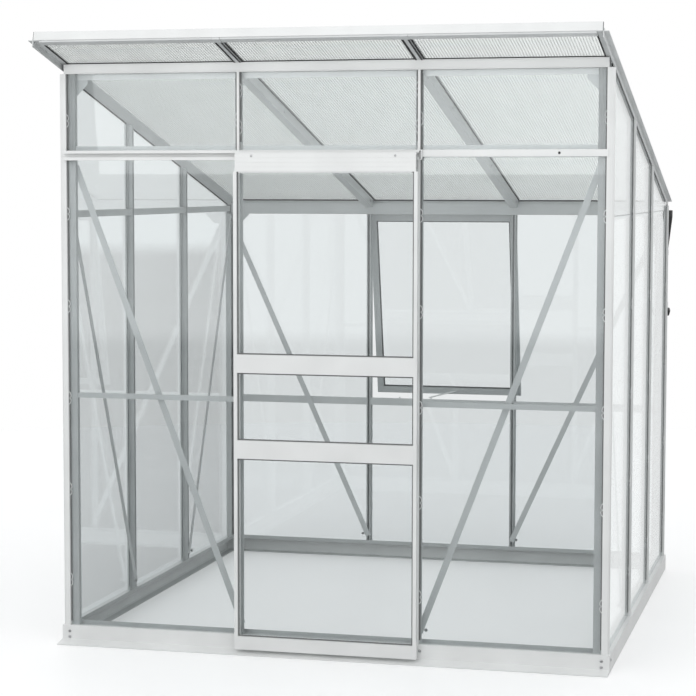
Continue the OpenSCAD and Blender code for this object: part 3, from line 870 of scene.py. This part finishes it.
class GREENHOUSE_OT_bolts(bpy.types.Operator):
    """Fit the nuts on the braces, the rivets on the rafters, the screws in the base and the cover bar's plug
    """

    bl_idname = "greenhouse.bolts"
    bl_label = "Bolts"

    def execute(self, context):
        radius = sizes().nut_width / 2
        foot_line, head_line = POST_LINE + 0.022, CORNER_LINE - 0.03
        places = []
        for wall, place in WALLS.items():
            low, high = corners(wall + "_braces")
            inward = place.to_3x3() @ Vector((0, 1, 0))
            foot, head = low.z + 0.014, high.z - 0.019
            for side in (-1, 1):
                if wall in ("front", "back"):
                    y = high.y if wall == "front" else low.y
                    places.append(facing((side * foot_line, y, foot), inward))
                    places.append(facing((side * head_line, y, head), inward))
                else:
                    x = high.x if wall == "left" else low.x
                    y = MIDDLE_Y + side * head_line
                    places.append(facing((x, MIDDLE_Y + side * foot_line, foot), inward))
                    places.append(facing((x, y, min(head, roof_underside(y) - 0.075)), inward))
        finish_piece(copies(nut(radius, 0.005), places), "brace_nuts", "zinc")
        places = []
        for line, spots in ((-POST_LINE, (0.513, 1.22, 1.83)), (POST_LINE, (0.484, 1.255, 1.83))):
            for along in spots:
                y = FRONT_Y + along
                places.append(facing((line + 0.016, y, roof_underside(y) - 0.026), (1, 0, 0)))
        finish_piece(copies(dome(0.005, 0.0025), places), "rafter_rivets", "zinc")
        places = [facing((x, FRONT_Y, z), (0, -1, 0)) for x in (-0.926, 0.926) for z in (0.04, 0.02)]
        places.append(facing((0.32, FRONT_Y, 0.04), (0, -1, 0)))
        places += [facing((way * HALF_WIDTH, FRONT_Y + 0.03, 0.04), (way, 0, 0)) for way in (-1, 1)]
        finish_piece(copies(dome(0.0048, 0.0024), places), "base_screws", "zinc")
        cover_low, cover_high = corners("front_cover_bar")
        spot = (0.773, cover_low.y, (cover_low.z + cover_high.z) / 2)
        finish_piece(copies(dome(0.0042, 0.0015), [facing(spot, (0, -1, 0))]), "cover_bar_plug", "rubber")
        return {"FINISHED"}


def rail_edges(node):
    """Heights of the lower and the upper rail of a node that holds two."""
    levels = sorted({round(corner.co.z, 4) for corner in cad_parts[node].data.vertices})
    gap = max(range(1, len(levels)), key=lambda i: levels[i] - levels[i - 1])
    return levels[0], levels[gap - 1], levels[gap], levels[-1]


def pane_border(left, right, bottom, top, near, far, width):
    """Four strips round a pane's edge, in the x-z plane."""
    return [
        bar((left, near, bottom), (left + width, far, top), 0.0003),
        bar((right - width, near, bottom), (right, far, top), 0.0003),
        bar((left + width, near, bottom), (right - width, far, bottom + width), 0.0003),
        bar((left + width, near, top - width), (right - width, far, top), 0.0003),
    ]


class GREENHOUSE_OT_door_fittings(bpy.types.Operator):
    """Fit the door's rivets, pane seals and the header's ribs and drip lip; the seals' grey is partly
    painted shade of the gaps beside the panes
    """

    bl_idname = "greenhouse.door_fittings"
    bl_label = "Door Fittings"

    def execute(self, context):
        low, high = corners("door_header")
        places = [facing((x, low.y, high.z - 0.0115), (0, -1, 0)) for x in (-0.251, 0.240)]
        finish_piece(copies(dome(0.0036, 0.0016), places), "door_header_rivets", "zinc", DOOR)
        rib_h = 0.0012
        ribs = []
        for down in (0.0035, 0.019, 0.034, 0.049):
            bottom = high.z - down
            ribs.append(bar(
                (low.x + 0.001, low.y - 0.0006, bottom), (high.x - 0.001, low.y, bottom + rib_h), 0.0002
            ))
        finish_piece(joined(ribs), "door_header_ribs", "white_x", DOOR)
        lip_in = 0.012
        finish_piece(bar(
            (low.x + lip_in, low.y + 0.001, low.z - 0.005), (high.x - lip_in, low.y + 0.005, low.z - GAP),
            0.0004,
        ), "door_header_lip", "bare_x", DOOR)
        lower, lower_top, upper, upper_top = rail_edges("door_middle_rails")
        rail_low, rail_high = corners("door_bottom_rail")
        face = corners("door_glass")[0].y
        room, seal_w = 0.0002, 0.0045
        # Grey strips round each door pane: seals, and painted shade of the gaps beside the panes
        strips = []
        for bottom, top in ((rail_high.z, lower), (lower_top, upper), (upper_top, low.z - 0.0006)):
            strips += pane_border(
                rail_low.x + room, rail_high.x - room, bottom + room, top - room,
                face - 0.002, face - room, seal_w,
            )
        finish_piece(joined(strips), "door_pane_seals_and_groove_shade", "grey_rubber_and_groove_shade", DOOR)
        return {"FINISHED"}


class GREENHOUSE_OT_window_fittings(bpy.types.Operator):
    """Fit the back window's pane seals and the ridges along its frame"""

    bl_idname = "greenhouse.window_fittings"
    bl_label = "Window Fittings"

    def execute(self, context):
        half_width = corners("window_frame")[1].x
        half_pane = (WINDOW_HIGH.z - WINDOW_LOW.z) / 2 / math.cos(WINDOW_TILT)
        bar_w = half_width - WINDOW_HIGH.x
        half_height = half_pane + bar_w - 0.0005
        border = []
        for near, far in ((-0.0034, -0.0017), (0.0017, 0.0034)):
            border += pane_border(
                -half_width + bar_w + 0.0005, half_width - bar_w - 0.0005,
                -half_pane + 0.001, half_pane - 0.001, near, far, 0.004,
            )
        finish_piece(settle(joined(border), WINDOW), "window_pane_seals", "grey_rubber_and_groove_shade")
        ridge_in = 0.011
        ridges = []
        for near, far in ((-0.0088, -0.0081), (0.0081, 0.0088)):
            ridges += pane_border(
                -half_width + ridge_in, half_width - ridge_in,
                -half_height + ridge_in, half_height - ridge_in, near, far, 0.003,
            )
        finish_piece(settle(joined(ridges), WINDOW), "window_frame_ridges", "bare_x")
        return {"FINISHED"}


class GREENHOUSE_OT_rainwater_fittings(bpy.types.Operator):
    """Fit the white rings where the downpipe's lengths join"""

    bl_idname = "greenhouse.rainwater_fittings"
    bl_label = "Rainwater Fittings"

    def execute(self, context):
        low, high = corners("rainwater_pipe")
        centre = (low + high) / 2
        rings = []
        for bottom, top in ((high.z - 0.023, high.z - 0.001), (low.z + 0.033, low.z + 0.054)):
            alone()
            bpy.ops.mesh.primitive_cylinder_add(
                vertices=40, radius=0.0285, depth=top - bottom, end_fill_type="NOTHING",
                location=(centre.x, centre.y, (bottom + top) / 2),
            )
            ring = settle(bpy.context.object)
            wall = ring.modifiers.new("wall", "SOLIDIFY")
            wall.thickness = 0.0028
            wall.offset = -1
            pick(ring)
            bpy.ops.object.modifier_apply(modifier=wall.name)
            bpy.ops.object.shade_smooth_by_angle(angle=0.6)
            rings.append(ring)
        finish_piece(joined(rings), "downpipe_rings", "white_plastic")
        return {"FINISHED"}


class GREENHOUSE_OT_stage(bpy.types.Operator):
    """Set up the studio: floor, soft lights, pale surroundings and the camera"""

    bl_idname = "greenhouse.stage"
    bl_label = "Stage"

    def execute(self, context):
        alone()
        bpy.ops.mesh.primitive_circle_add(
            vertices=96, radius=6.0, fill_type="NGON", location=(0, 0, -0.0005)
        )
        floor = settle(bpy.context.object)
        floor.name = "studio_floor"
        floor.data.materials.append(floor_material())
        soft_lamp("key_light", (-1.2, -6.4, 3.3), (0, 0, 0.9), 3.5, 64)
        soft_lamp("fill_light", (4.5, -2.0, 3.6), (0, 0, 0.9), 3.0, 15)
        surroundings()
        camera()
        context.scene.view_settings.view_transform = "Standard"
        return {"FINISHED"}


def floor_material():
    """Pale floor: white where nothing shades it, with the greenhouse's shadow, and unseen by mirrors."""
    finish = Finish("studio_floor")
    mottle = finish.pattern(3.0, (1, 1, 1), 2.0)
    paint = finish.node("BsdfPrincipled", roughness=0.5)
    tone = colours().backdrop_colour
    finish.link(finish.tinted(mottle, scaled(tone, 0.99), scaled(tone, 1.01)), paint.inputs["Base Color"])
    glow = finish.node("Emission", strength=0.22)
    none = finish.node("Emission", strength=0.0)
    path = finish.node("LightPath")
    seen = finish.math("MAXIMUM", path.outputs["Is Camera Ray"], path.outputs["Is Transmission Ray"])
    both = finish.node("AddShader")
    finish.link(paint.outputs[0], both.inputs[0])
    finish.link(finish.mixed(seen, none, glow), both.inputs[1])
    clear = finish.node("BsdfTransparent")
    return finish.surface(finish.mixed(path.outputs["Is Glossy Ray"], both, clear))


def soft_lamp(name, place, target, size, power):
    """A square soft light aimed at a target."""
    alone()
    bpy.ops.object.light_add(type="AREA", location=place)
    lamp = bpy.context.object
    lamp.name = name
    lamp.data.shape = "SQUARE"
    lamp.data.size = size
    lamp.data.energy = power
    lamp.rotation_euler = (Vector(target) - Vector(place)).to_track_quat("-Z", "Y").to_euler()


def surroundings():
    """White to the eye, even light on the object, and a dark ground in its reflections.

    In front, the ground darkens mirrors a little below the level. Behind, it darkens them only towards
    the sides, and starts nearer to the level.
    """
    finish = Finish("studio", bpy.data.worlds.new("studio"))
    bpy.context.scene.world = finish.material
    place = finish.node("TexCoord")
    split = finish.node("SeparateXYZ")
    finish.link(place.outputs["Generated"], split.inputs[0])
    x, y, z = (split.outputs[name] for name in "XYZ")
    in_front = finish.ramped(z, (-0.078, -0.070), (0.03, 1.0))
    beside = finish.ramped(z, (-0.034, -0.027), (0.03, 1.0))
    aside = finish.ramped(finish.math("ABSOLUTE", x), (0.15, 0.25), (0.0, 1.0))
    behind = finish.math("GREATER_THAN", y, 0.0)
    gloom = finish.math("MULTIPLY", aside, finish.math("SUBTRACT", 1.0, beside))
    at_back = finish.math("SUBTRACT", 1.0, gloom)
    mirror = finish.math(
        "ADD", finish.math("MULTIPLY", behind, at_back),
        finish.math("MULTIPLY", finish.math("SUBTRACT", 1.0, behind), in_front),
    )
    mirrored = finish.node("Background")
    finish.link(mirror, mirrored.inputs["Color"])
    light = finish.node("Background", color=(0.98, 0.99, 1.0, 1), strength=0.95)
    seen = finish.node("Background", color=(1, 1, 1, 1))
    path = finish.node("LightPath")
    either = finish.math("MAXIMUM", path.outputs["Is Camera Ray"], path.outputs["Is Transmission Ray"])
    unseen = finish.mixed(path.outputs["Is Glossy Ray"], light, mirrored)
    finish.surface(finish.mixed(either, unseen, seen))


def camera():
    """The camera: a long lens, a little below the door's top and to the right of the door."""
    alone()
    bpy.ops.object.camera_add(
        location=(1.743, FRONT_Y - 6.606, 1.587),
        rotation=(math.radians(90 - 4.52), math.radians(-0.07), math.radians(14.2)),
    )
    eye = bpy.context.object
    eye.name = "camera"
    eye.data.sensor_width = 36
    eye.data.lens = 106.27
    bpy.context.scene.camera = eye


class GREENHOUSE_PT_panel(bpy.types.Panel):
    """Lists the greenhouse's settings and steps"""

    bl_label = "Greenhouse"
    bl_idname = "GREENHOUSE_PT_panel"
    bl_space_type = "VIEW_3D"
    bl_region_type = "UI"
    bl_category = "Greenhouse"

    def draw(self, context):
        scene = context.scene
        for group in (scene.greenhouse_sizes, scene.greenhouse_colours):
            for name in group.bl_rna.properties.keys():
                if name not in ("rna_type", "name"):
                    self.layout.prop(group, name)
        for step in STEPS:
            self.layout.operator(step.bl_idname)


STEPS = (
    GREENHOUSE_OT_finish_frame,
    GREENHOUSE_OT_roof_sheets,
    GREENHOUSE_OT_glazing_seals,
    GREENHOUSE_OT_roof_seals,
    GREENHOUSE_OT_trim_strips,
    GREENHOUSE_OT_glass_clips,
    GREENHOUSE_OT_bolts,
    GREENHOUSE_OT_door_fittings,
    GREENHOUSE_OT_window_fittings,
    GREENHOUSE_OT_rainwater_fittings,
    GREENHOUSE_OT_stage,
)
GROUPS = (GreenhouseSizes, GreenhouseColours)


def register():
    for kind in (*GROUPS, *STEPS, GREENHOUSE_PT_panel):
        bpy.utils.register_class(kind)
    bpy.types.Scene.greenhouse_sizes = bpy.props.PointerProperty(type=GreenhouseSizes)
    bpy.types.Scene.greenhouse_colours = bpy.props.PointerProperty(type=GreenhouseColours)


def unregister():
    del bpy.types.Scene.greenhouse_colours
    del bpy.types.Scene.greenhouse_sizes
    for kind in reversed((*GROUPS, *STEPS, GREENHOUSE_PT_panel)):
        bpy.utils.unregister_class(kind)


def main():
    """Builds everything in order."""
    register()
    for step in STEPS:
        family, name = step.bl_idname.split(".")
        getattr(getattr(bpy.ops, family), name)()


if __name__ == "__main__":
    main()
